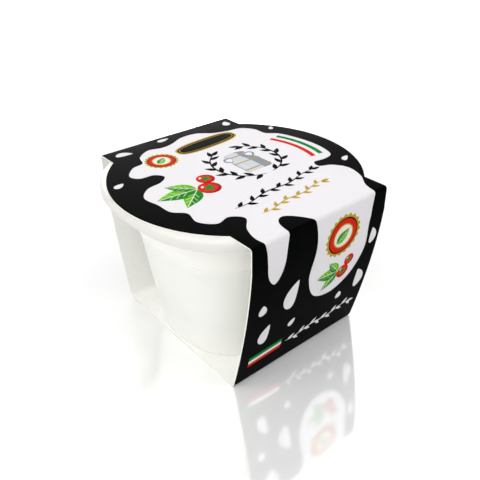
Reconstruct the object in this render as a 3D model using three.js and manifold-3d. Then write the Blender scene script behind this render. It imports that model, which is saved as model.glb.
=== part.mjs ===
// A shut plastic tub with a press-on lid, held in a folded card sleeve that is open at the left and right.
// Millimetres, +Z up. The front panel faces -Y, and the origin is under the middle of the sleeve's base.
import * as THREE from "three";
import { mergeVertices } from "three/addons/utils/BufferGeometryUtils.js";
import Module from "manifold-3d";

// Card sleeve: one band of card folded into a loop, seen from the side as a tapered box
const CARD = 0.5;
const SLEEVE_WIDTH = 68.6;
const SLEEVE_HEIGHT = 70.4;
const TOP_DEPTH = 100;
const BASE_DEPTH = 77.4;
const CREASE_RADIUS = 1.4;
const SHOULDER_HEIGHT = 60.5;
const BOW_DEPTH = 96.4;
const BOW_HEIGHT = 36;
const ARC_RADIUS = 51.8;

// Tub and lid: round with slightly squared sides, standing a little towards the left opening
const FIT_GAP = 0.3;
const TUB_SLIDE = -2.6;
const PLAN_POWER = 2.55;
const LID_RIM_HEIGHT = 4.3;
const LID_WALL = 0.9;
const LID_EDGE_RADIUS = 1.6;
const FLANGE_THICKNESS = 1.4;
const COLLAR_HALF = 37.6;
const COLLAR_HEIGHT = 48;
const COLLAR_STEP = 0.9;
const TUB_FOOT_HALF = 30.5;
const FOOT_RADIUS = 1;

// Sizes that follow from the ones above
const LID_HALF = TOP_DEPTH / 2 - CARD - FIT_GAP;
const LID_TOP = SLEEVE_HEIGHT - CARD - FIT_GAP;
const LID_LOW = LID_TOP - LID_RIM_HEIGHT;
const FLANGE_HALF = LID_HALF - LID_WALL - FIT_GAP;
const FLANGE_LOW = LID_LOW + FIT_GAP;
const FLANGE_TOP = FLANGE_LOW + FLANGE_THICKNESS;
const TUB_BASE = CARD + FIT_GAP;

const CURVE_STEPS = 10;
const EDGE_STEPS = 5;
const ROUND_STEPS = 72;
const ARC_STEPS = 120;
const TRIM_SPARE = 2;
const WELD = 1e-4;

const wasm = await Module();
wasm.setup();

// A closed three.js geometry as a solid that can be joined and cut.
function toSolid(geometry) {
  const bare = geometry.clone();
  bare.deleteAttribute("normal");
  bare.deleteAttribute("uv");
  const merged = mergeVertices(bare, WELD);
  return new wasm.Manifold(
    new wasm.Mesh({
      numProp: 3,
      vertProperties: merged.attributes.position.array,
      triVerts: new Uint32Array(merged.index.array),
    }),
  );
}

// A solid back as a three.js geometry.
function toGeometry(solid) {
  const mesh = solid.getMesh();
  const geometry = new THREE.BufferGeometry();
  geometry.setAttribute("position", new THREE.BufferAttribute(mesh.vertProperties, 3));
  geometry.setIndex(new THREE.BufferAttribute(mesh.triVerts, 1));
  geometry.computeVertexNormals();
  return geometry;
}

// The band's side view in (depth, height): upright beside the lid's rim, then bowed inwards to the base.
function bandOutline(path, inset) {
  const wall = TOP_DEPTH / 2 - inset;
  const foot = BASE_DEPTH / 2 - inset;
  const bow = BOW_DEPTH / 2 - inset;
  const top = SLEEVE_HEIGHT - inset;
  const crease = CREASE_RADIUS - inset;
  const lean = new THREE.Vector2(bow - foot, BOW_HEIGHT - inset).setLength(crease);
  path.moveTo(foot - crease, inset);
  path.quadraticCurveTo(foot, inset, foot + lean.x, inset + lean.y);
  path.quadraticCurveTo(bow, BOW_HEIGHT, wall, SHOULDER_HEIGHT);
  path.lineTo(wall, top - crease);
  path.quadraticCurveTo(wall, top, wall - crease, top);
  path.lineTo(crease - wall, top);
  path.quadraticCurveTo(-wall, top, -wall, top - crease);
  path.lineTo(-wall, SHOULDER_HEIGHT);
  path.quadraticCurveTo(-bow, BOW_HEIGHT, -foot - lean.x, inset + lean.y);
  path.quadraticCurveTo(-foot, inset, crease - foot, inset);
  path.closePath();
  return path;
}

// The sleeve: the band's outline through the pack, trimmed to the card's width, with the top panel
// widened at both sides by a round over the lid.
function sleeveGeometry() {
  const outline = bandOutline(new THREE.Shape(), 0);
  outline.holes.push(bandOutline(new THREE.Path(), CARD));
  const length = 2 * (ARC_RADIUS + TRIM_SPARE);
  const band = new THREE.ExtrudeGeometry(outline, {
    depth: length,
    bevelEnabled: false,
    curveSegments: CURVE_STEPS,
  });
  const depthHeightWidth = new THREE.Matrix4().makeBasis(
    new THREE.Vector3(0, 1, 0),
    new THREE.Vector3(0, 0, 1),
    new THREE.Vector3(1, 0, 0),
  );
  band.translate(0, 0, -length / 2).applyMatrix4(depthHeightWidth);

  const stripHeight = 2 * (SLEEVE_HEIGHT + TRIM_SPARE);
  const strip = new THREE.BoxGeometry(SLEEVE_WIDTH, TOP_DEPTH + TRIM_SPARE, stripHeight);
  const roundHeight = 2 * (SLEEVE_HEIGHT - SHOULDER_HEIGHT);
  const round = new THREE.CylinderGeometry(ARC_RADIUS, ARC_RADIUS, roundHeight, ARC_STEPS);
  round.rotateX(Math.PI / 2).translate(0, 0, SLEEVE_HEIGHT);
  const plan = toSolid(strip).add(toSolid(round));
  return toGeometry(toSolid(band).intersect(plan));
}

// A turned form whose circles are pushed out to the tub's slightly squared plan.
function squaredLathe(profile) {
  const geometry = new THREE.LatheGeometry(profile, ROUND_STEPS);
  geometry.rotateX(Math.PI / 2);
  const position = geometry.getAttribute("position");
  for (let i = 0; i < position.count; i += 1) {
    const x = position.getX(i);
    const y = position.getY(i);
    const angle = Math.atan2(y, x);
    const spread = Math.abs(Math.cos(angle)) ** PLAN_POWER + Math.abs(Math.sin(angle)) ** PLAN_POWER;
    const reach = spread ** (-1 / PLAN_POWER);
    position.setXY(i, x * reach, y * reach);
  }
  geometry.computeVertexNormals();
  return geometry;
}

// The tub: rounded foot, tapered wall, a collar one step wider, and the flange under the lid.
function tubGeometry() {
  const wallTop = COLLAR_HALF - COLLAR_STEP;
  const lean = new THREE.Vector2(wallTop - TUB_FOOT_HALF, COLLAR_HEIGHT - TUB_BASE).setLength(FOOT_RADIUS);
  const side = new THREE.Path();
  side.moveTo(0, TUB_BASE);
  side.lineTo(TUB_FOOT_HALF - FOOT_RADIUS, TUB_BASE);
  side.quadraticCurveTo(TUB_FOOT_HALF, TUB_BASE, TUB_FOOT_HALF + lean.x, TUB_BASE + lean.y);
  side.lineTo(wallTop, COLLAR_HEIGHT);
  side.lineTo(COLLAR_HALF, COLLAR_HEIGHT + COLLAR_STEP);
  side.lineTo(COLLAR_HALF, FLANGE_LOW);
  side.lineTo(FLANGE_HALF, FLANGE_LOW);
  side.lineTo(FLANGE_HALF, FLANGE_TOP);
  side.lineTo(0, FLANGE_TOP);
  return squaredLathe(side.getPoints(EDGE_STEPS));
}

// The lid: a plate with a rounded edge and a skirt that drops over the tub's flange.
function lidGeometry() {
  const inside = LID_HALF - LID_WALL;
  const plateLow = FLANGE_TOP + FIT_GAP;
  const side = new THREE.Path();
  side.moveTo(0, plateLow);
  side.lineTo(inside, plateLow);
  side.lineTo(inside, LID_LOW);
  side.lineTo(LID_HALF, LID_LOW);
  side.lineTo(LID_HALF, LID_TOP - LID_EDGE_RADIUS);
  side.absarc(LID_HALF - LID_EDGE_RADIUS, LID_TOP - LID_EDGE_RADIUS, LID_EDGE_RADIUS, 0, Math.PI / 2);
  side.lineTo(0, LID_TOP);
  return squaredLathe(side.getPoints(EDGE_STEPS));
}

const coatedCard = new THREE.MeshStandardMaterial({ color: 0x0b0b0c, roughness: 0.35, metalness: 0 });
const tubPlastic = new THREE.MeshStandardMaterial({ color: 0xe9eae0, roughness: 0.4, metalness: 0 });
const lidPlastic = new THREE.MeshStandardMaterial({ color: 0xeeeee8, roughness: 0.4, metalness: 0 });

function piece(name, geometry, material) {
  const mesh = new THREE.Mesh(geometry, material);
  mesh.name = name;
  return mesh;
}

const closedTub = new THREE.Group();
closedTub.add(piece("tub", tubGeometry(), tubPlastic), piece("lid", lidGeometry(), lidPlastic));
closedTub.position.x = TUB_SLIDE;

const pack = new THREE.Group();
pack.add(piece("sleeve", sleeveGeometry(), coatedCard), closedTub);

export default pack;
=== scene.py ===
"""Dresses a shut plastic tub and its folded, printed card sleeve, around the packed model of both."""

import math

import bpy
from bpy.props import FloatProperty, FloatVectorProperty, IntProperty, PointerProperty
from bpy.types import Operator, Panel, PropertyGroup
from mathutils import Matrix, Vector


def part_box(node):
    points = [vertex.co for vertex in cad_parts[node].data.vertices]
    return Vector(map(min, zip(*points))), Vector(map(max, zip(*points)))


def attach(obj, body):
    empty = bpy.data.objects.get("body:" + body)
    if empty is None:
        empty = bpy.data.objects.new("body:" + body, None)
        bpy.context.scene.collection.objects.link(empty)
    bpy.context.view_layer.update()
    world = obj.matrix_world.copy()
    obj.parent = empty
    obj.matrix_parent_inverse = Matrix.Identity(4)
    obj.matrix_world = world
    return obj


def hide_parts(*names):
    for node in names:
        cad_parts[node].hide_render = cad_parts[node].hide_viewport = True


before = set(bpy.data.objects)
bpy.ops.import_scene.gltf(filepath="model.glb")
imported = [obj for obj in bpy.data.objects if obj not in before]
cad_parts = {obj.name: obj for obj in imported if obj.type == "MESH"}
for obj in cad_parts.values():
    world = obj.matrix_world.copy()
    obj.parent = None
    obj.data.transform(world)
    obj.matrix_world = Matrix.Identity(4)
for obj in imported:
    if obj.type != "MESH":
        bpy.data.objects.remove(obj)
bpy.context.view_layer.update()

bl_info = {
    "name": "Sleeved Tub",
    "version": (1, 0, 0),
    "blender": (4, 5, 0),
    "location": "View3D > Sidebar > Sleeved Tub",
    "description": "Folds a printed card sleeve round a plastic tub with a press-on lid",
    "category": "Add Mesh",
}

BODY = "root"
MM = 0.001
SLEEVE_LOW, SLEEVE_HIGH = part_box("sleeve")
TUB_LOW, TUB_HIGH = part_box("tub")
LID_LOW, LID_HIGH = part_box("lid")

# Places closer than NEAR count as one, and points closer than WELD are merged
NEAR = 0.001 * MM
WELD = 0.01 * MM
SMOOTH_ANGLE = math.radians(35)


def length(name, description, default):
    """A size in metres that a user can change."""
    return FloatProperty(name=name, description=description, default=default, precision=5,
                         unit="LENGTH", subtype="DISTANCE")


def colour(name, description, default):
    """A linear colour that a user can change."""
    return FloatVectorProperty(name=name, description=description, default=default, size=3,
                               min=0, max=1, subtype="COLOR")


def angle(name, description, degrees):
    """An angle, given in degrees, that a user can change."""
    return FloatProperty(name=name, description=description, default=math.radians(degrees),
                         unit="ROTATION", subtype="ANGLE")


def power(name, description, default):
    """A lamp's power in watts that a user can change."""
    return FloatProperty(name=name, description=description, default=default, min=0, unit="POWER")


class SleeveSizes(PropertyGroup):
    """Sizes of the folded card"""

    height: length("Height", "Floor to the top panel", SLEEVE_HIGH.z)
    top_depth: length("Top depth", "Front crease to back crease", SLEEVE_HIGH.y - SLEEVE_LOW.y)
    arc_radius: length("Round", "Radius of the top panel's round sides", SLEEVE_HIGH.x)
    band_width: length("Band width", "Width of the card band", 68.6 * MM)
    base_depth: length("Base depth", "Depth of the base panel", 77.4 * MM)
    shoulder_height: length("Shoulder", "Height where the panels start to lean in", 60.5 * MM)
    bow_depth: length("Bow depth", "Depth of the point that the panels bow towards", 96.4 * MM)
    bow_height: length("Bow height", "Height of the point that the panels bow towards", 36 * MM)
    crease: length("Crease", "Outer radius of the sharp folds", 1.4 * MM)
    soft_crease: length("Soft crease", "Outer radius of the fold at the back of the base", 3.2 * MM)
    card: length("Card", "Thickness of the card", 0.5 * MM)
    film: length("Film", "How far each ink stands above the one below", 0.012 * MM)


class PrintColours(PropertyGroup):
    """Inks and bare card of the sleeve"""

    ground: colour("Black", "Black ground of the print", (0.0012, 0.0014, 0.0015))
    white: colour("White", "White fields of the print", (0.678, 0.660, 0.678))
    gold: colour("Gold", "Gold lines and rims", (0.41, 0.275, 0.022))
    red: colour("Red", "Red stripes, discs and fruit", (0.555, 0.017, 0.010))
    wine: colour("Dark red", "Shaded side of the fruit", (0.33, 0.007, 0.007))
    green: colour("Green", "Green stripes and stalks", (0.003, 0.19, 0.027))
    leaf: colour("Leaf", "Lit half of the leaves", (0.115, 0.42, 0.007))
    shade_leaf: colour("Leaf shade", "Shaded half of the leaves", (0.014, 0.20, 0.014))
    cream: colour("Cream", "Glints, veins and the middle of the rosettes", (0.71, 0.67, 0.56))
    pewter: colour("Pewter", "Lit side of the milk churn", (0.50, 0.52, 0.57))
    shade_pewter: colour("Pewter shade", "Shaded side of the milk churn", (0.21, 0.25, 0.30))
    inside: colour("Inside", "Bare inner face of the card", (0.92, 0.915, 0.885))
    edge: colour("Cut edge", "Cut edges of the card", (0.86, 0.86, 0.80))


class TubSizes(PropertyGroup):
    """Sizes and colours of the tub and its lid"""

    slide: length("Slide", "How far the tub stands off the middle", (LID_LOW.x + LID_HIGH.x) / 2)
    lid_half: length("Lid", "Half of the lid's width", (LID_HIGH.y - LID_LOW.y) / 2)
    lid_wall: length("Lid wall", "Thickness of the lid's skirt", 0.9 * MM)
    lid_edge: length("Lid edge", "Radius of the lid's upper edge", 1.6 * MM)
    flange_half: length("Flange", "Half of the flange's width", (TUB_HIGH.y - TUB_LOW.y) / 2)
    flange: length("Flange thickness", "Thickness of the tub's flange", 1.4 * MM)
    collar_half: length("Collar", "Half of the collar's width", 37.6 * MM)
    collar_height: length("Collar height", "Where the collar starts", 48 * MM)
    collar_step: length("Collar step", "How far the collar stands out", 0.9 * MM)
    collar_blend: length("Collar blend", "How softly the wall runs into the collar", 2.2 * MM)
    foot_half: length("Foot", "Half of the foot's width", 30.5 * MM)
    foot_radius: length("Foot radius", "Rounding of the foot", 0.6 * MM)
    settle: length("Settle", "How far tub and lid close the gaps to the card", 0.29 * MM)
    squareness: FloatProperty(name="Squareness", description="2 is a circle, more is squarer",
                              default=2.55, min=2, max=8)
    sides: IntProperty(name="Sides", description="Sides of the tub and the lid",
                       default=192, min=24, max=512)
    wall_colour: colour("Wall", "Plastic of the filled wall", (0.80, 0.81, 0.767))
    # The collar's paler tone is partly plastic above the filling and partly a painted highlight; the
    # foot takes it too, as painted light
    unfilled_and_painted_light_colour: colour("Collar", "Plastic above the filling", (0.895, 0.89, 0.845))
    lid_colour: colour("Lid", "Plastic of the lid", (0.705, 0.69, 0.655))


class StageSettings(PropertyGroup):
    """Floor, lights and camera"""

    azimuth: angle("Azimuth", "Camera's turn round the pack", -39.48)
    elevation: angle("Elevation", "Camera's height angle", 32.04)
    roll: angle("Roll", "Camera's roll", -0.81)
    distance: length("Distance", "Camera's distance", 254.2 * MM)
    aim_height: length("Aim height", "Height of the point aimed at", 40 * MM)
    aside: length("Aside", "Camera's offset to its right", 1.56 * MM)
    above: length("Above", "Camera's offset upwards", -2.95 * MM)
    lens: FloatProperty(name="Lens", description="Camera's focal length", default=43.8, min=10,
                        unit="CAMERA")
    floor_size: length("Floor", "Side of the floor", 6.0)
    floor_colour: colour("Floor colour", "Pale floor", (0.985, 0.985, 0.985))
    top_power: power("Top light", "Overhead soft box", 37.0)
    side_power: power("Side light", "Soft box at the left, towards the front", 7.1)
    high_side_power: power("High side light", "Soft box high up at the left", 8.2)
    front_power: power("Front light", "Soft box high up at the front", 10.2)
    back_power: power("Back light", "Large soft box behind, which the floor mirrors", 17.8)
    strip_power: power("Strip light", "Low strip behind, which gives the print its sheen", 11.5)
    horizon: FloatProperty(name="Horizon", description="Brightness of the light at the horizon",
                           default=0.8, min=0)
    sky: FloatProperty(name="Sky", description="Brightness of the light overhead",
                       default=0.0, min=0)


# Small tools for objects and edit mode


def deselect():
    """Leaves nothing selected, in object mode."""
    if bpy.context.object and bpy.context.object.mode != "OBJECT":
        bpy.ops.object.mode_set(mode="OBJECT")
    bpy.ops.object.select_all(action="DESELECT")


def make_active(piece):
    """Selects one piece alone."""
    deselect()
    piece.select_set(True)
    bpy.context.view_layer.objects.active = piece


def edit_all(piece):
    """Opens a piece in edit mode with everything selected."""
    make_active(piece)
    bpy.ops.object.mode_set(mode="EDIT")
    bpy.ops.mesh.select_all(action="SELECT")


def select_edges(piece, wanted):
    """In edit mode, selects the edges whose two ends pass a test."""
    bpy.ops.mesh.select_mode(type="EDGE")
    bpy.ops.mesh.select_all(action="DESELECT")
    bpy.ops.object.mode_set(mode="OBJECT")
    mesh = piece.data
    for edge in mesh.edges:
        edge.select = all(wanted(mesh.vertices[i].co) for i in edge.vertices)
    bpy.ops.object.mode_set(mode="EDIT")


def apply_modifier(piece, kind, **settings):
    """Adds a modifier with its settings and applies it."""
    make_active(piece)
    modifier = piece.modifiers.new(kind.title(), kind)
    for key, value in settings.items():
        setattr(modifier, key, value)
    bpy.ops.object.modifier_apply(modifier=modifier.name)


def finish_piece(piece, name, slot, *nodes):
    """Names a piece, smooths it and ties it to the packed model."""
    if not piece.data.polygons:
        raise RuntimeError(f"{name} has no faces")
    make_active(piece)
    piece.name = name
    piece.data.name = name
    bpy.ops.object.transform_apply(location=True, rotation=True, scale=True)
    bpy.ops.object.shade_smooth_by_angle(angle=SMOOTH_ANGLE)
    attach(piece, BODY)
    if nodes:
        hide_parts(*nodes)


# The folded band


def curve_steps(start, control, end, steps):
    """Points of a quadratic curve after its start."""
    points = []
    for i in range(1, steps + 1):
        t = i / steps
        points.append(start * (1 - t) ** 2 + control * 2 * t * (1 - t) + end * t * t)
    return points


class HalfFold:
    """One half of the band's side view, as a line from the top's middle to the base's middle."""

    CREASE_STEPS = 8
    PANEL_STEPS = 28

    def __init__(self, sizes, base_crease):
        wall, foot, bow = sizes.top_depth / 2, sizes.base_depth / 2, sizes.bow_depth / 2
        crease, top = sizes.crease, sizes.height
        lean = Vector((bow - foot, sizes.bow_height)).normalized() * base_crease
        wall_top = Vector((wall, top - crease))
        wall_low = Vector((wall, sizes.shoulder_height))
        panel_low = Vector((foot + lean.x, lean.y))
        base_end = Vector((foot - base_crease, 0))
        line = [Vector((0, top)), Vector((wall - crease, top))]
        line += curve_steps(line[-1], Vector((wall, top)), wall_top, self.CREASE_STEPS)
        line += [wall_low]
        line += curve_steps(wall_low, Vector((bow, sizes.bow_height)), panel_low, self.PANEL_STEPS)
        line += curve_steps(panel_low, Vector((foot, 0)), base_end, self.CREASE_STEPS)
        line += [Vector((0, 0))]
        self.line = line
        self.along = [0.0]
        for a, b in zip(line, line[1:]):
            self.along.append(self.along[-1] + (b - a).length)
        self.normals = self.point_normals()

    def point_normals(self):
        """Outward directions at the line's points."""
        steps = [(b - a).normalized() for a, b in zip(self.line, self.line[1:])]
        steps = [steps[0]] + steps + [steps[-1]]
        turned_out = []
        for before, after in zip(steps, steps[1:]):
            tangent = (before + after).normalized()
            turned_out.append(Vector((-tangent.y, tangent.x)))
        return turned_out

    def point(self, along, lift):
        """The (depth, height) of a place so far along this half and so far off its face."""
        reach = min(along, self.along[-1])
        i = 0
        while self.along[i + 1] < reach and i + 2 < len(self.along):
            i += 1
        t = (reach - self.along[i]) / (self.along[i + 1] - self.along[i])
        out = self.normals[i].lerp(self.normals[i + 1], t).normalized()
        return self.line[i].lerp(self.line[i + 1], t) + out * lift


class Fold:
    """The folded band. Along the flat card, positive runs from the top's middle to the front."""

    def __init__(self, sizes):
        self.front = HalfFold(sizes, sizes.crease)
        self.back = HalfFold(sizes, sizes.soft_crease)

    def ends(self):
        """The card's front and back ends, which meet under the base."""
        return self.front.along[-1], -self.back.along[-1]

    def stations(self):
        """Places along the card where it bends."""
        return [-s for s in reversed(self.back.along[1:-1])] + self.front.along[1:-1]

    def place(self, across, along, lift):
        """The folded place of a point of the flat card."""
        half = self.front if along > 0 else self.back
        point = half.point(abs(along), lift)
        return Vector((across, -math.copysign(point.x, along), point.y))


def score_and_fold(piece, fold):
    """Cuts a flat piece at the fold's stations, then folds it."""
    low = min(v.co.y for v in piece.data.vertices)
    high = max(v.co.y for v in piece.data.vertices)
    edit_all(piece)
    for station in fold.stations():
        if low < station < high:
            bpy.ops.mesh.select_all(action="SELECT")
            bpy.ops.mesh.bisect(plane_co=(0, station, 0), plane_no=(0, 1, 0), threshold=NEAR)
    bpy.ops.object.mode_set(mode="OBJECT")
    for vertex in piece.data.vertices:
        vertex.co = fold.place(*vertex.co)


# Materials

# Most of a noise texture's values lie between these two
NOISE_LOW, NOISE_HIGH = 0.3, 0.7

VARNISH_IOR = 1.035
CARD_IOR = 1.3
PLASTIC_IOR = 1.4
FLOOR_IOR = 4.0

# Light that scatters inside the plastic: its share, its depth and its spread in red, green and blue
SCATTER_SHARE = 0.4
SCATTER_DEPTH = 1.5 * MM
SCATTER_SPREAD = (1.0, 1.0, 0.9)


def new_material(name):
    """A node material with its Principled shader and the object's coordinates."""
    material = bpy.data.materials.new(name)
    material.use_nodes = True
    tree = material.node_tree
    place = add_node(tree, "ShaderNodeTexCoord", (-1150, 0))
    return material, tree, tree.nodes["Principled BSDF"], place.outputs["Object"]


def add_node(tree, kind, spot, **inputs):
    """Adds a node and sets its named inputs."""
    made = tree.nodes.new(kind)
    made.location = spot
    for key, value in inputs.items():
        made.inputs[key.replace("_", " ")].default_value = value
    return made


def tone_ramp(tree, source, stops, spot):
    """A colour ramp over a value, from a list of (position, colour)."""
    ramp = add_node(tree, "ShaderNodeValToRGB", spot)
    elements = ramp.color_ramp.elements
    while len(elements) < len(stops):
        elements.new(1.0)
    for element, (position, tone) in zip(elements, stops):
        element.position = position
        element.color = (*tone, 1)
    tree.links.new(source, ramp.inputs["Fac"])
    return ramp.outputs["Color"]


def mottled(tree, shader, place, base, share, scale):
    """Links a base colour that darkens by up to a small share in spots."""
    noise = add_node(tree, "ShaderNodeTexNoise", (-900, 300), Scale=scale, Detail=4.0, Roughness=0.6)
    tree.links.new(place, noise.inputs["Vector"])
    stops = [(NOISE_LOW, [c * (1 - share) for c in base]), (NOISE_HIGH, list(base))]
    tones = tone_ramp(tree, noise.outputs["Fac"], stops, (-650, 300))
    tree.links.new(tones, shader.inputs["Base Color"])


def grained(tree, shader, place, scale, height):
    """Links a fine bump to the shader."""
    grain = add_node(tree, "ShaderNodeTexNoise", (-900, -300), Scale=scale, Detail=3.0)
    bump = add_node(tree, "ShaderNodeBump", (-250, -300), Strength=0.5, Distance=height)
    tree.links.new(place, grain.inputs["Vector"])
    tree.links.new(grain.outputs["Fac"], bump.inputs["Height"])
    tree.links.new(bump.outputs["Normal"], shader.inputs["Normal"])


def uneven_gloss(tree, shader, place, low, high, scale):
    """Links a roughness that wanders between two values."""
    noise = add_node(tree, "ShaderNodeTexNoise", (-900, 0), Scale=scale, Detail=3.0)
    spread = add_node(tree, "ShaderNodeMapRange", (-450, 0), From_Min=NOISE_LOW, From_Max=NOISE_HIGH,
                      To_Min=low, To_Max=high)
    tree.links.new(place, noise.inputs["Vector"])
    tree.links.new(noise.outputs["Fac"], spread.inputs["Value"])
    tree.links.new(spread.outputs["Result"], shader.inputs["Roughness"])


def ink(name, base):
    """Varnished print on smooth card, made once for each ink."""
    if name in bpy.data.materials:
        return bpy.data.materials[name]
    material, tree, shader, place = new_material(name)
    mottled(tree, shader, place, base, share=0.04, scale=900)
    uneven_gloss(tree, shader, place, low=0.30, high=0.40, scale=220)
    grained(tree, shader, place, scale=2600, height=0.008 * MM)
    shader.inputs["IOR"].default_value = VARNISH_IOR
    return material


def bare_card(name, base):
    """Uncoated card with its fibres."""
    material, tree, shader, place = new_material(name)
    mottled(tree, shader, place, base, share=0.05, scale=700)
    uneven_gloss(tree, shader, place, low=0.75, high=0.9, scale=400)
    grained(tree, shader, place, scale=1500, height=0.03 * MM)
    shader.inputs["IOR"].default_value = CARD_IOR
    return material


def satin_plastic(name, tones, low, high):
    """Moulded plastic with a soft gloss, its colour ramped by height between two levels, partly as
    painted light and shade.
    """
    material, tree, shader, place = new_material(name)
    split = add_node(tree, "ShaderNodeSeparateXYZ", (-900, 300))
    rise = add_node(tree, "ShaderNodeMapRange", (-750, 300), From_Min=low, From_Max=high)
    tree.links.new(place, split.inputs["Vector"])
    tree.links.new(split.outputs["Z"], rise.inputs["Value"])
    tint = tone_ramp(tree, rise.outputs["Result"], tones, (-550, 300))
    tree.links.new(tint, shader.inputs["Base Color"])
    uneven_gloss(tree, shader, place, low=0.34, high=0.44, scale=90)
    grained(tree, shader, place, scale=500, height=0.02 * MM)
    shader.inputs["IOR"].default_value = PLASTIC_IOR
    shader.inputs["Subsurface Weight"].default_value = SCATTER_SHARE
    shader.inputs["Subsurface Radius"].default_value = SCATTER_SPREAD
    shader.inputs["Subsurface Scale"].default_value = SCATTER_DEPTH
    return material


# Outlines of the print on the flat card, in millimetres: across to the right, along to the front


def through(points, steps, closed):
    """A smooth line through a few points."""
    count = len(points)
    line = []
    for i in range(count if closed else count - 1):
        near = range(i - 1, i + 3)
        if closed:
            near = [k % count for k in near]
        else:
            near = [min(max(k, 0), count - 1) for k in near]
        a, b, c, d = (Vector(points[k]) for k in near)
        bend = a * 2 - b * 5 + c * 4 - d
        twist = b * 3 - a - c * 3 + d
        for j in range(steps):
            t = j / steps
            point = b * 2 + (c - a) * t + bend * t ** 2 + twist * t ** 3
            line.append(tuple(point / 2))
    if not closed:
        line.append(tuple(points[-1]))
    return line


def moved(points, at, degrees=0):
    """Points turned about the flat card's middle, then moved to a place."""
    c, s = math.cos(math.radians(degrees)), math.sin(math.radians(degrees))
    return [(at[0] + x * c - y * s, at[1] + x * s + y * c) for x, y in points]


def mirrored(points):
    """Points flipped to the other side of the across axis."""
    return [(x, -y) for x, y in points]


def round_steps(count):
    """Angles all the way round."""
    return [2 * math.pi * i / count for i in range(count)]


def oval(at, width, depth, degrees=0, squareness=2.0, steps=72):
    """An oval, or a rounded box where the squareness is over 2."""
    points = []
    for t in round_steps(steps):
        x, y = math.cos(t), math.sin(t)
        points.append((width / 2 * math.copysign(abs(x) ** (2 / squareness), x),
                       depth / 2 * math.copysign(abs(y) ** (2 / squareness), y)))
    return moved(points, at, degrees)


def disc(at, width, steps=72):
    """A round spot."""
    return oval(at, width, width, steps=steps)


def scalloped(at, radius, depth, count, steps=160):
    """A disc with a wavy edge."""
    points = []
    for t in round_steps(steps):
        r = radius + depth * math.cos(count * t)
        points.append((r * math.cos(t), r * math.sin(t)))
    return moved(points, at)


def ribbon(line, width, thin=1.0):
    """A stripe along a line of points, whose ends may be thinner than its middle."""
    line = [Vector(p) for p in line]
    last = len(line) - 1
    left, right = [], []
    for i, point in enumerate(line):
        ahead = (line[min(i + 1, last)] - line[max(i - 1, 0)]).normalized()
        share = thin + (1 - thin) * math.sin(math.pi * i / last)
        side = Vector((-ahead.y, ahead.x)) * share * width / 2
        left.append(tuple(point + side))
        right.append(tuple(point - side))
    return left + right[::-1]


def curved_stripe(radius, first, last, width, steps=40):
    """A stripe round the top panel's middle, between two angles in degrees."""
    turns = [math.radians(first + (last - first) * i / steps) for i in range(steps + 1)]
    return ribbon([(radius * math.cos(t), radius * math.sin(t)) for t in turns], width)


# Below 1, a leaf is widest towards its stalk
LEAF_SWELL = 0.75


def leaf_edge(size, width, steps=20):
    """One edge of a leaf, from its stalk to its tip."""
    edge = []
    for i in range(steps + 1):
        edge.append((size * i / steps, width / 2 * math.sin(math.pi * (i / steps) ** LEAF_SWELL)))
    return edge


def leaf_outline(size, width):
    """A whole leaf."""
    edge = leaf_edge(size, width)
    return edge + mirrored(edge)[-2:0:-1]


def splash(at, size, width, degrees, bend=0.0, steps=48):
    """A drop with a narrow end at the back, bent to one side, then turned."""
    points = []
    for t in round_steps(steps):
        along = -math.cos(t)
        across = 0.6 * width * math.sin(t) * math.sin(t / 2) ** 0.7
        points.append((across + bend * along ** 2, size / 2 * along))
    return moved(points, at, degrees)


# Waves of the patch's edge: depth, number and shift
PATCH_WAVES = ((0.09, 3, 0.6), (0.06, 5, 2))


def patch(at, width, depth, steps=120):
    """A wavy oval field."""
    points = []
    for t in round_steps(steps):
        reach = 1
        for swell, count, shift in PATCH_WAVES:
            reach += swell * math.sin(count * t + shift)
        points.append((width / 2 * reach * math.cos(t), depth / 2 * reach * math.sin(t)))
    return moved(points, at)


# Motifs, each a list of (ink, outline, level): higher levels print over lower ones

ON_BLACK, ON_WHITE, ON_LEAVES = 1, 2, 5

# Where a leaf's side veins leave its midrib, as shares of its length
LEAF_VEINS = (0.25, 0.42, 0.6)

# Inks of a rosette's discs with their widths in radii, and of a plate's ovals with their insets
ROSETTE_DISCS = (("ground", 1.74), ("red", 1.62), ("gold", 1.16), ("cream", 1.06))
ROSETTE_SCALLOPS = 20
ROSETTE_TILT = -40
PLATE_OVALS = (("gold", 0), ("ground", 1.6), ("gold", 3.2), ("ground", 3.9))
PLATE_SQUARENESS = 2.8

# Points of a garland's stem, the lean of its leaves, and the arc of a wreath's two branches in degrees
STEM_STEPS = 60
LEAF_LEAN = 40
WREATH_START, WREATH_SWEEP = 83, 145

# The churn in shares of its height: half widths and heights of its side, grip and hoops
CHURN_SIDE = [(0.27, 0.0), (0.32, 0.04), (0.33, 0.10), (0.33, 0.50), (0.30, 0.59), (0.21, 0.68),
              (0.19, 0.73), (0.19, 0.83), (0.27, 0.86), (0.27, 0.91), (0.19, 0.95), (0.08, 0.98)]
CHURN_GRIP = [(0.20, 0.81), (0.33, 0.80), (0.37, 0.70), (0.29, 0.605)]
CHURN_HOOPS = [(0.34, 0.12), (0.34, 0.47), (0.2, 0.78)]
GRIP_STEPS = 6


def placed(shapes, at, degrees=0):
    """A motif's shapes, turned and moved to their place."""
    return [(name, moved(points, at, degrees), level) for name, points, level in shapes]


def leaf(at, size, width, degrees, level=ON_WHITE):
    """A leaf with a lit half, a shaded half, a midrib and side veins."""
    midrib = [(0, 0), (0.94 * size, 0)]
    shapes = [("leaf", leaf_outline(size, width), level),
              ("shade_leaf", mirrored(leaf_edge(size, width)), level + 1),
              ("cream", ribbon(midrib, 0.022 * size), level + 2)]
    for start in LEAF_VEINS:
        for side in (1, -1):
            vein = [(start * size, 0), ((start + 0.17) * size, side * 0.30 * width)]
            shapes.append(("cream", ribbon(vein, 0.012 * size), level + 2))
    return placed(shapes, at, degrees)


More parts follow.
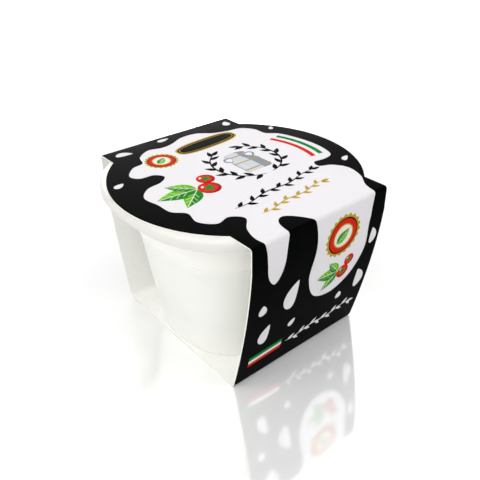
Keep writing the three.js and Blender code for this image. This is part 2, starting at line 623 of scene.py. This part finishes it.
def tomato(at, radius, degrees, level=ON_LEAVES):
    """A small tomato with a shaded side, a glint and a green star of stalk leaves."""
    lit = (at[0] - 0.1 * radius, at[1] - 0.1 * radius)
    glint = (at[0] - 0.42 * radius, at[1] - 0.45 * radius)
    shapes = [("wine", disc(at, 2 * radius), level),
              ("red", disc(lit, 1.78 * radius), level + 1),
              ("cream", oval(glint, 0.42 * radius, 0.26 * radius, -35), level + 2)]
    stalk = [(x + 0.06 * radius, y) for x, y in leaf_outline(0.6 * radius, 0.3 * radius)]
    for i in range(5):
        shapes.append(("green", moved(stalk, at, degrees + 72 * i), level + 2))
    shapes.append(("green", disc(at, 0.2 * radius, steps=16), level + 3))
    return shapes


def rosette(at, radius, degrees=0, level=ON_WHITE):
    """A round badge: scalloped gold rim, red ring and a leaf on cream, which may be turned."""
    shapes = [("gold", scalloped(at, radius, 0.05 * radius, ROSETTE_SCALLOPS), level)]
    for name, width in ROSETTE_DISCS:
        level += 1
        shapes.append((name, disc(at, width * radius), level))
    tilt = degrees + ROSETTE_TILT
    stalk = moved([(-0.46 * radius, 0)], at, tilt)[0]
    return shapes + leaf(stalk, 0.92 * radius, 0.5 * radius, tilt, level + 1)


def plate(at, width, depth, degrees, level=ON_WHITE):
    """A blank black plate with a gold rim and a gold inner line."""
    shapes = []
    for order, (name, inset) in enumerate(PLATE_OVALS):
        outline = oval(at, width - inset, depth - inset, degrees, PLATE_SQUARENESS)
        shapes.append((name, outline, level + order))
    return shapes


def branch(name, line, leaves, reach, level):
    """A thin stem along a line, with leaves on alternate sides and one at its tip."""
    last = len(line) - 1
    spots = [round(last * (i + 0.5) / leaves) for i in range(leaves)] + [last - 1]
    leans = [LEAF_LEAN if i % 2 else -LEAF_LEAN for i in range(leaves)] + [0]
    shapes = [(name, ribbon(line, 0.16 * reach, thin=0.4), level)]
    for spot, lean in zip(spots, leans):
        ahead = Vector(line[spot + 1]) - Vector(line[spot])
        turn = math.degrees(math.atan2(ahead.y, ahead.x)) + lean
        shapes.append((name, moved(leaf_outline(reach, 0.4 * reach), line[spot], turn), level + 1))
    return shapes


def vine(name, at, size, degrees, leaves, level=ON_WHITE):
    """A branch that waves twice."""
    wave = []
    for i in range(STEM_STEPS):
        sway = 0.016 * size * math.sin(4 * math.pi * i / STEM_STEPS)
        wave.append((size * (i / STEM_STEPS - 0.5), sway))
    return branch(name, moved(wave, at, degrees), leaves, 1.25 * size / leaves, level)


def wreath(name, at, radius, degrees=0, leaves=11, level=ON_WHITE):
    """Two branches that curve up from the front and leave a gap at the back, then turned."""
    arc = [math.radians(WREATH_START - WREATH_SWEEP * i / STEM_STEPS) for i in range(STEM_STEPS + 1)]
    shapes = []
    for side in (1, -1):
        line = [(side * radius * math.cos(t), radius * math.sin(t)) for t in arc]
        shapes += branch(name, moved(line, at, degrees), leaves, 0.36 * radius, level)
    return shapes


def churn(at, height, level=ON_WHITE):
    """A milk churn with a shaded side, two handles, gold hoops and a glint."""
    side = [(x * height, (0.5 - y) * height) for x, y in CHURN_SIDE]
    grip = [(x * height, (0.5 - y) * height) for x, y in through(CHURN_GRIP, GRIP_STEPS, closed=False)]
    lit = [(0.30 * x, y) for x, y in side]
    glint = [(-0.20 * height, 0.40 * height), (-0.20 * height, 0.0)]
    shapes = [("shade_pewter", side + [(-x, y) for x, y in side[::-1]], level),
              ("pewter", lit + [(-0.93 * x, y) for x, y in side[::-1]], level + 1),
              ("white", ribbon(glint, 0.07 * height, thin=0.3), level + 2)]
    for turned in (1, -1):
        handle = ribbon([(turned * x, y) for x, y in grip], 0.05 * height)
        shapes.append(("shade_pewter", handle, level))
    for reach, up in CHURN_HOOPS:
        hoop = [(-reach * height, (0.5 - up) * height), (reach * height, (0.5 - up) * height)]
        shapes.append(("gold", ribbon(hoop, 0.04 * height), level + 3))
    return placed(shapes, at)


# Layout of the print: the white field's outline, the loose splashes and the places of the motifs

WHITE_FIELD = [
    (-40.5, 5), (-41.5, -3), (-36.5, -8.5), (-29.5, -10), (-25.5, -13.5), (-28, -17.5), (-34, -18.5),
    (-36, -23), (-31, -28.5), (-25.5, -30), (-23, -36), (-16.5, -40), (-10, -38.5), (-4, -39.5),
    (3, -42.5), (11, -42), (17, -37.5), (24, -35), (31, -33.5), (35, -28), (35.5, -21.5), (40, -16.5),
    (42.5, -8), (43.5, 0), (43, 8), (40.5, 15), (35, 16.5), (29.5, 16), (28, 20), (33, 23), (36, 29),
    (34, 37), (29, 44), (27, 52), (26, 63), (26.5, 75), (21, 86), (11, 91), (0.5, 87.5), (-4.5, 76),
    (-3, 63), (-4, 52), (-8, 44), (-12.5, 40.5), (-16.5, 44), (-18, 54), (-19.5, 64), (-23, 69),
    (-26.5, 64), (-27.5, 54), (-29, 46), (-27, 39), (-22.5, 33), (-26.5, 28.5), (-32.5, 29.5),
    (-37, 24), (-36, 17), (-40, 12),
]
FIELD_STEPS = 8

# Across, along, length, width, turn in degrees and bend
SPLASHES = [
    (-43.5, -18, 5, 3, 70, 0), (-26.5, -43.5, 7.5, 3.8, 105, 0.8), (-5, -45.6, 6, 2.6, 85, 0),
    (29.5, -43, 5, 3.8, 20, 0), (42, -24.5, 3.4, 2.2, 40, 0), (42.2, 21.5, 5, 2.6, 62, 0.5),
    (-13, 80, 14, 6.6, 12, 1.5), (-27, 80, 5, 4, 0, 0), (-24, 95, 10, 5.2, 14, 1),
    (-9, 97, 4.4, 3, 40, 0), (30.5, 70, 8, 4, -6, -0.8), (29, 92, 11, 5.4, -10, -1.2),
    (18, 97, 4, 3.4, 0, 0), (-27, -62, 12, 6, 172, 1.2), (20, -58, 7, 4, 190, 0),
    (29, -74, 10, 5, 185, -1), (-29.5, -84, 5, 4, 180, 0), (-28.5, -103, 9, 4.6, 190, 0.8),
    (29, -99, 6, 4, 170, 0),
]

# A sprig's leaves as (length, width, turn), how far they start from its middle, and its tomatoes as
# (across, along, radius, turn)
SPRIG_LEAVES = ((20, 9.5, 186), (17.5, 8.5, 140), (15, 7.5, 226))
SPRIG_GAP = 0.4
SPRIG_TOMATOES = ((5, 2.5, 5.4, 20), (9, -6, 4.4, 55))

CHURN_SPOT = (9, -4)
BACK_SPOT = (0, -86)
BAR_INKS = ("green", "white", "red")
BAR_PITCH = 1.9


def white_fields():
    """The field of the top and front, a smaller one on the back, and loose splashes round them."""
    shapes = [("white", through(WHITE_FIELD, FIELD_STEPS, closed=True), ON_BLACK),
              ("white", patch(BACK_SPOT, width=46, depth=38), ON_BLACK)]
    for across, along, *form in SPLASHES:
        shapes.append(("white", splash((across, along), *form), ON_BLACK))
    return shapes


def sprig(at, scale):
    """Three leaves and two tomatoes."""
    shapes = []
    for size, width, turn in SPRIG_LEAVES:
        stalk = moved([(SPRIG_GAP * scale, 0)], at, turn)[0]
        shapes += leaf(stalk, scale * size, scale * width, turn)
    for across, along, radius, turn in SPRIG_TOMATOES:
        shapes += tomato((at[0] + scale * across, at[1] + scale * along), scale * radius, turn)
    return shapes


def sprigs():
    """A large sprig on the top and a small one on the front."""
    return sprig((-22, 4), scale=0.85) + sprig((12.5, 80.5), scale=0.6)


def badges():
    """A blank plate on the top, and rosettes on the top, front and back."""
    shapes = plate((8, -30), width=33, depth=10.5, degrees=-3)
    shapes += rosette((-18, -27), radius=7)
    shapes += rosette((11, 62.5), radius=9)
    shapes += rosette(BACK_SPOT, radius=6.6, degrees=180)
    return shapes


def garlands():
    """A black wreath on the top, a gold one on the back, and vines in black, gold and white."""
    shapes = wreath("ground", CHURN_SPOT, radius=15)
    shapes += vine("ground", (2, 23), size=46, degrees=-6, leaves=13)
    shapes += vine("gold", (2, 32.5), size=36, degrees=-6, leaves=12)
    shapes += vine("white", (9.5, 107.5), size=38, degrees=-3, leaves=12, level=ON_BLACK)
    shapes += wreath("gold", BACK_SPOT, radius=11.5, degrees=180)
    shapes += vine("white", (0, -113), size=46, degrees=180, leaves=13, level=ON_BLACK)
    return shapes


def stripes():
    """A green and a red curved stripe on the top, and green, white and red bars on the front."""
    shapes = [("green", curved_stripe(radius=39.8, first=-22, last=17, width=2.2), ON_WHITE),
              ("red", curved_stripe(radius=35.6, first=-24, last=19, width=2.2), ON_WHITE)]
    for order, name in enumerate(BAR_INKS):
        bar = [(-29, 107 + BAR_PITCH * order), (-12, 106 + BAR_PITCH * order)]
        shapes.append((name, ribbon(bar, width=1.7), ON_BLACK))
    return shapes


# Printing: shapes are drawn on the flat card and folded with it

# An ink reaches this many films down from its face
FILM_DEPTH = 4


def flat_shape(points, level, film):
    """A filled outline on the flat card, lifted by its printing order."""
    area = sum(a[0] * b[1] - b[0] * a[1] for a, b in zip(points, points[1:] + points[:1]))
    ordered = points if area > 0 else points[::-1]
    deselect()
    bpy.ops.mesh.primitive_circle_add(vertices=len(ordered), radius=1, fill_type="NGON")
    shape = bpy.context.object
    for vertex, (across, along) in zip(shape.data.vertices, ordered):
        vertex.co = (across * MM, along * MM, level * film)
    shape.data.update()
    return shape


def print_piece(name, shapes, material, sizes):
    """One ink of a motif: its shapes joined, folded with the card and given their thickness."""
    made = [flat_shape(points, level, sizes.film) for points, level in shapes]
    piece = made[0]
    make_active(piece)
    for shape in made:
        shape.select_set(True)
    if len(made) > 1:
        bpy.ops.object.join()
    score_and_fold(piece, Fold(sizes))
    apply_modifier(piece, "SOLIDIFY", thickness=FILM_DEPTH * sizes.film, offset=-1)
    piece.data.materials.append(material)
    finish_piece(piece, name, "printed_card")


def print_motif(context, motif, shapes):
    """Prints a motif, one piece for each ink."""
    sizes, colours = context.scene.pack_sleeve, context.scene.pack_print
    for name in dict.fromkeys(used for used, _, _ in shapes):
        own = [(points, level) for used, points, level in shapes if used == name]
        material = ink(f"{name}_print", getattr(colours, name))
        print_piece(f"{motif}_{name}", own, material, sizes)


# Raised forms: tub and lid are rings of (half width, height), raised one from the next

OUT, IN, UP, DOWN = (1, 0), (-1, 0), (0, 1), (0, -1)

# Small roundings of the tub's flange, and rings in each half of its collar's bend
FLANGE_FILLET = 0.8 * MM
FLANGE_EDGE = 0.3 * MM
COLLAR_STEPS = 6

# The lid: its gap over the flange, the flat rim of its underside and its small roundings
LID_GAP = 0.3 * MM
LID_RIM = 1 * MM
LID_FILLET = 0.4 * MM
SKIRT_INNER_EDGE = 0.2 * MM
SKIRT_OUTER_EDGE = 0.35 * MM

# Tones by shares of the height: the tub's foot paler with painted light, its collar paler as unfilled
# plastic with a painted highlight, and the lid's lower edge darker with painted shade
FOOT_PAINTED_LIGHT_FADE = 0.25
FADE_BELOW_COLLAR, FADE_ABOVE_COLLAR = 0.04, 0.05
LID_SHADE, LID_FADE = 0.95, 0.6


def raise_rings(rings, sizes):
    """A closed form raised ring by ring from a filled outline with slightly squared sides."""
    half, height = rings[0]
    deselect()
    bpy.ops.mesh.primitive_circle_add(vertices=sizes.sides, radius=half, fill_type="NGON",
                                      location=(sizes.slide, 0, height))
    piece = bpy.context.object
    for vertex in piece.data.vertices:
        turn = math.atan2(vertex.co.y, vertex.co.x)
        spread = abs(math.cos(turn)) ** sizes.squareness + abs(math.sin(turn)) ** sizes.squareness
        vertex.co *= spread ** (-1 / sizes.squareness)
    edit_all(piece)
    for (half, height), (next_half, next_height) in zip(rings, rings[1:]):
        bpy.ops.mesh.extrude_edges_move(TRANSFORM_OT_translate={"value": (0, 0, next_height - height)})
        bpy.ops.transform.resize(value=(next_half / half, next_half / half, 1),
                                 center_override=(sizes.slide, 0, next_height))
    bpy.ops.mesh.edge_face_add()
    bpy.ops.mesh.select_all(action="SELECT")
    bpy.ops.mesh.normals_make_consistent(inside=False)
    bpy.ops.object.mode_set(mode="OBJECT")
    return piece


def rounded(corner, radius, before, after, steps):
    """Rings round a corner, from one direction into the next."""
    corner = Vector(corner)
    start = corner - Vector(before).normalized() * radius
    end = corner + Vector(after).normalized() * radius
    return [tuple(start)] + [tuple(p) for p in curve_steps(start, corner, end, steps)]


# Operators

BLANK_SIDES = 320


class PACK_OT_fold_sleeve(Operator):
    """Cuts the card blank flat, folds it into the sleeve and gives it its thickness"""

    bl_idname = "pack.fold_sleeve"
    bl_label = "Fold sleeve"

    def execute(self, context):
        sizes, colours = context.scene.pack_sleeve, context.scene.pack_print
        fold = Fold(sizes)
        blank = self.cut_blank(sizes, fold)
        score_and_fold(blank, fold)
        edit_all(blank)
        bpy.ops.mesh.remove_doubles(threshold=WELD)
        bpy.ops.mesh.normals_make_consistent(inside=False)
        bpy.ops.object.mode_set(mode="OBJECT")
        blank.data.materials.append(ink("ground_print", colours.ground))
        blank.data.materials.append(bare_card("bare_card", colours.inside))
        blank.data.materials.append(bare_card("cut_edge", colours.edge))
        apply_modifier(blank, "SOLIDIFY", thickness=sizes.card, offset=-1, use_even_offset=True,
                       material_offset=1, material_offset_rim=2)
        finish_piece(blank, "card_sleeve", "printed_card", "sleeve")
        return {"FINISHED"}

    def cut_blank(self, sizes, fold):
        """The flat blank: a round trimmed to the top panel, with the band drawn out of it both ways."""
        chord = math.sqrt(sizes.arc_radius ** 2 - (sizes.band_width / 2) ** 2)
        deselect()
        bpy.ops.mesh.primitive_circle_add(vertices=BLANK_SIDES, radius=sizes.arc_radius,
                                          fill_type="NGON")
        blank = bpy.context.object
        edit_all(blank)
        for side in (1, -1):
            bpy.ops.mesh.select_all(action="SELECT")
            bpy.ops.mesh.bisect(plane_co=(0, side * chord, 0), plane_no=(0, side, 0), clear_outer=True,
                                threshold=NEAR)
        for end in fold.ends():
            start = math.copysign(chord, end)
            select_edges(blank, lambda co, start=start: abs(co.y - start) < NEAR)
            bpy.ops.mesh.extrude_region_move(TRANSFORM_OT_translate={"value": (0, end - start, 0)})
        bpy.ops.object.mode_set(mode="OBJECT")
        return blank


class PACK_OT_print_white(Operator):
    """Prints the white fields and splashes on the black ground"""

    bl_idname = "pack.print_white"
    bl_label = "Print white fields"

    def execute(self, context):
        print_motif(context, "field", white_fields())
        return {"FINISHED"}


class PACK_OT_print_sprigs(Operator):
    """Prints the leaves and tomatoes"""

    bl_idname = "pack.print_sprigs"
    bl_label = "Print sprigs"

    def execute(self, context):
        print_motif(context, "sprig", sprigs())
        return {"FINISHED"}


class PACK_OT_print_churn(Operator):
    """Prints the milk churn"""

    bl_idname = "pack.print_churn"
    bl_label = "Print churn"

    def execute(self, context):
        print_motif(context, "churn", churn(CHURN_SPOT, height=20))
        return {"FINISHED"}


class PACK_OT_print_badges(Operator):
    """Prints the blank plate and the rosettes"""

    bl_idname = "pack.print_badges"
    bl_label = "Print badges"

    def execute(self, context):
        print_motif(context, "badge", badges())
        return {"FINISHED"}


class PACK_OT_print_garlands(Operator):
    """Prints the wreaths and the vines"""

    bl_idname = "pack.print_garlands"
    bl_label = "Print garlands"

    def execute(self, context):
        print_motif(context, "garland", garlands())
        return {"FINISHED"}


class PACK_OT_print_stripes(Operator):
    """Prints the coloured stripes"""

    bl_idname = "pack.print_stripes"
    bl_label = "Print stripes"

    def execute(self, context):
        print_motif(context, "stripe", stripes())
        return {"FINISHED"}


class PACK_OT_mould_tub(Operator):
    """Moulds the tub: foot, tapered wall, collar and flange"""

    bl_idname = "pack.mould_tub"
    bl_label = "Mould tub"

    def execute(self, context):
        sizes = context.scene.pack_tub
        base = TUB_LOW.z - sizes.settle
        wall_top = sizes.collar_half - sizes.collar_step
        rise = (wall_top - sizes.foot_half, sizes.collar_height - base)
        flange_low = TUB_HIGH.z - sizes.flange
        rings = [(sizes.foot_half - 2 * sizes.foot_radius, base)]
        rings += rounded((sizes.foot_half, base), sizes.foot_radius, OUT, rise, steps=6)
        rings += self.collar_bend(sizes, wall_top, rise)
        rings += rounded((sizes.collar_half, flange_low), FLANGE_FILLET, UP, OUT, steps=4)
        rings += rounded((sizes.flange_half, flange_low), FLANGE_EDGE, OUT, UP, steps=3)
        rings += rounded((sizes.flange_half, TUB_HIGH.z), FLANGE_EDGE, UP, IN, steps=3)
        tub = raise_rings(rings, sizes)
        # Painted light: the foot and the collar are paler; the collar is partly plastic above the
        # filling, partly a painted highlight
        collar = sizes.collar_height / TUB_HIGH.z
        tones = [(0.0, sizes.unfilled_and_painted_light_colour),
                 (FOOT_PAINTED_LIGHT_FADE, sizes.wall_colour),
                 (collar - FADE_BELOW_COLLAR, sizes.wall_colour),
                 (collar + FADE_ABOVE_COLLAR, sizes.unfilled_and_painted_light_colour)]
        tub.data.materials.append(satin_plastic("tub_plastic", tones, 0, TUB_HIGH.z))
        finish_piece(tub, "moulded_tub", "tub_plastic", "tub")
        return {"FINISHED"}

    def collar_bend(self, sizes, wall_top, rise):
        """Rings where the wall swings out into the collar, as a soft S."""
        low = Vector((wall_top, sizes.collar_height))
        high = Vector((sizes.collar_half, sizes.collar_height + sizes.collar_step))
        start = low - Vector(rise).normalized() * sizes.collar_blend
        middle = (low + high) / 2
        end = high + Vector((0, sizes.collar_blend))
        bend = [start]
        bend += curve_steps(start, low, middle, COLLAR_STEPS)
        bend += curve_steps(middle, high, end, COLLAR_STEPS)
        return [tuple(point) for point in bend]


class PACK_OT_press_lid(Operator):
    """Makes the press-on lid with its skirt and rounded edge"""

    bl_idname = "pack.press_lid"
    bl_label = "Press lid"

    def execute(self, context):
        sizes = context.scene.pack_tub
        inside = sizes.lid_half - sizes.lid_wall
        plate_low = TUB_HIGH.z + LID_GAP
        top = LID_HIGH.z + sizes.settle
        rings = [(inside - LID_RIM, plate_low)]
        rings += rounded((inside, plate_low), LID_FILLET, OUT, DOWN, steps=3)
        rings += rounded((inside, LID_LOW.z), SKIRT_INNER_EDGE, DOWN, OUT, steps=2)
        rings += rounded((sizes.lid_half, LID_LOW.z), SKIRT_OUTER_EDGE, OUT, UP, steps=4)
        rings += rounded((sizes.lid_half, top), sizes.lid_edge, UP, IN, steps=8)
        rings += [(sizes.lid_half - 4 * sizes.lid_edge, top)]
        lid = raise_rings(rings, sizes)
        # The lid's lower edge is darker with painted shade
        tones = [(0.0, [c * LID_SHADE for c in sizes.lid_colour]), (LID_FADE, sizes.lid_colour)]
        lid.data.materials.append(satin_plastic("lid_plastic", tones, LID_LOW.z, LID_HIGH.z))
        finish_piece(lid, "press_on_lid", "lid_plastic", "lid")
        return {"FINISHED"}


# Stage, in metres: lamps by name with their place, width and height, and the point that they face
SOFT_BOXES = {
    "top": ((0, 0, 2.0), 4.0, 4.0),
    "side": ((-1.05, -0.65, 0.9), 0.9, 0.9),
    "high_side": ((-0.92, 0.12, 1.25), 0.9, 0.9),
    "front": ((0.44, -0.84, 1.4), 0.9, 0.9),
    "back": ((1.25, 1.5, 1.15), 2.6, 2.6),
    "strip": ((0.97, 1.68, 0.484), 1.4, 0.36),
}
LAMP_AIM = Vector((0, 0, 0.03))

# The world's light fades between these two heights of the view direction
HORIZON_TOP, SKY_LOW = 0.12, 0.40

FLOOR_DROP = 0.05 * MM
FRAME_WIDTH = 36
NEAREST_VIEW = 0.01


class PACK_OT_set_stage(Operator):
    """Sets the pale floor, the soft lights and the camera"""

    bl_idname = "pack.set_stage"
    bl_label = "Set stage"

    def execute(self, context):
        stage = context.scene.pack_stage
        self.lay_floor(stage)
        self.light_world(context.scene, stage)
        for name, (place, width, height) in SOFT_BOXES.items():
            self.hang_soft_box(name, place, (width, height), getattr(stage, f"{name}_power"))
        self.place_camera(context.scene, stage)
        context.scene.view_settings.view_transform = "Standard"
        return {"FINISHED"}

    def lay_floor(self, stage):
        """A plain floor, a hair under the pack's base."""
        deselect()
        bpy.ops.mesh.primitive_plane_add(size=stage.floor_size, location=(0, 0, -FLOOR_DROP))
        floor = bpy.context.object
        floor.name = "floor"
        material, tree, shader, place = new_material("pale_floor")
        shader.inputs["Base Color"].default_value = (*stage.floor_colour, 1)
        shader.inputs["IOR"].default_value = FLOOR_IOR
        uneven_gloss(tree, shader, place, low=0.06, high=0.09, scale=6)
        floor.data.materials.append(material)

    def light_world(self, scene, stage):
        """Even light that is strongest at the horizon."""
        world = bpy.data.worlds.new("even_light")
        world.use_nodes = True
        tree = world.node_tree
        place = add_node(tree, "ShaderNodeTexCoord", (-900, 0))
        split = add_node(tree, "ShaderNodeSeparateXYZ", (-700, 0))
        tree.links.new(place.outputs["Generated"], split.inputs["Vector"])
        tones = [(HORIZON_TOP, [stage.horizon] * 3), (SKY_LOW, [stage.sky] * 3)]
        glow = tone_ramp(tree, split.outputs["Z"], tones, (-500, 0))
        tree.links.new(glow, tree.nodes["Background"].inputs["Color"])
        scene.world = world

    def hang_soft_box(self, name, place, sides, watts):
        """A flat lamp that faces the pack."""
        deselect()
        place = Vector(place)
        bpy.ops.object.light_add(type="AREA", location=place)
        lamp = bpy.context.object
        lamp.name = f"{name}_light"
        lamp.data.energy = watts
        lamp.data.shape = "RECTANGLE"
        lamp.data.size, lamp.data.size_y = sides
        lamp.rotation_euler = (LAMP_AIM - place).to_track_quat("-Z", "Y").to_euler()

    def place_camera(self, scene, stage):
        """The camera at its angle round the pack, then moved aside in its own plane."""
        turn, lift, roll = stage.azimuth, stage.elevation, stage.roll
        level = math.cos(lift)
        back = Vector((math.sin(turn) * level, -math.cos(turn) * level, math.sin(lift)))
        right = Vector((0, 0, 1)).cross(back).normalized()
        up = back.cross(right)
        rolled_right = right * math.cos(roll) + up * math.sin(roll)
        rolled_up = up * math.cos(roll) - right * math.sin(roll)
        spot = Vector((0, 0, stage.aim_height)) + back * stage.distance
        spot += rolled_right * stage.aside + rolled_up * stage.above
        deselect()
        bpy.ops.object.camera_add(location=spot)
        camera = bpy.context.object
        axes = Matrix((rolled_right, rolled_up, back)).transposed().to_4x4()
        camera.matrix_world = Matrix.Translation(spot) @ axes
        camera.data.sensor_width = FRAME_WIDTH
        camera.data.lens = stage.lens
        camera.data.clip_start = NEAREST_VIEW
        scene.camera = camera


STEPS = (PACK_OT_fold_sleeve, PACK_OT_print_white, PACK_OT_print_sprigs, PACK_OT_print_churn,
         PACK_OT_print_badges, PACK_OT_print_garlands, PACK_OT_print_stripes, PACK_OT_mould_tub,
         PACK_OT_press_lid, PACK_OT_set_stage)
SETTINGS = {"pack_sleeve": SleeveSizes, "pack_print": PrintColours, "pack_tub": TubSizes,
            "pack_stage": StageSettings}


class PACK_PT_sidebar(Panel):
    """Lists the pack's steps and its sizes and colours"""

    bl_idname = "PACK_PT_sidebar"
    bl_label = "Sleeved Tub"
    bl_space_type = "VIEW_3D"
    bl_region_type = "UI"
    bl_category = "Sleeved Tub"

    def draw(self, context):
        for step in STEPS:
            self.layout.operator(step.bl_idname)
        for name, group in SETTINGS.items():
            box = self.layout.box()
            box.label(text=group.__doc__)
            for field in group.__annotations__:
                box.prop(getattr(context.scene, name), field)


CLASSES = (*SETTINGS.values(), *STEPS, PACK_PT_sidebar)


def register():
    """Makes the settings, the steps and the panel known to Blender."""
    for made in CLASSES:
        bpy.utils.register_class(made)
    for name, group in SETTINGS.items():
        setattr(bpy.types.Scene, name, PointerProperty(type=group))


def unregister():
    """Takes the settings, the steps and the panel out again."""
    for name in SETTINGS:
        delattr(bpy.types.Scene, name)
    for made in reversed(CLASSES):
        bpy.utils.unregister_class(made)


def main():
    """Builds the pack and its stage."""
    register()
    bpy.ops.pack.fold_sleeve()
    bpy.ops.pack.print_white()
    bpy.ops.pack.print_sprigs()
    bpy.ops.pack.print_churn()
    bpy.ops.pack.print_badges()
    bpy.ops.pack.print_garlands()
    bpy.ops.pack.print_stripes()
    bpy.ops.pack.mould_tub()
    bpy.ops.pack.press_lid()
    bpy.ops.pack.set_stage()


if __name__ == "__main__":
    main()
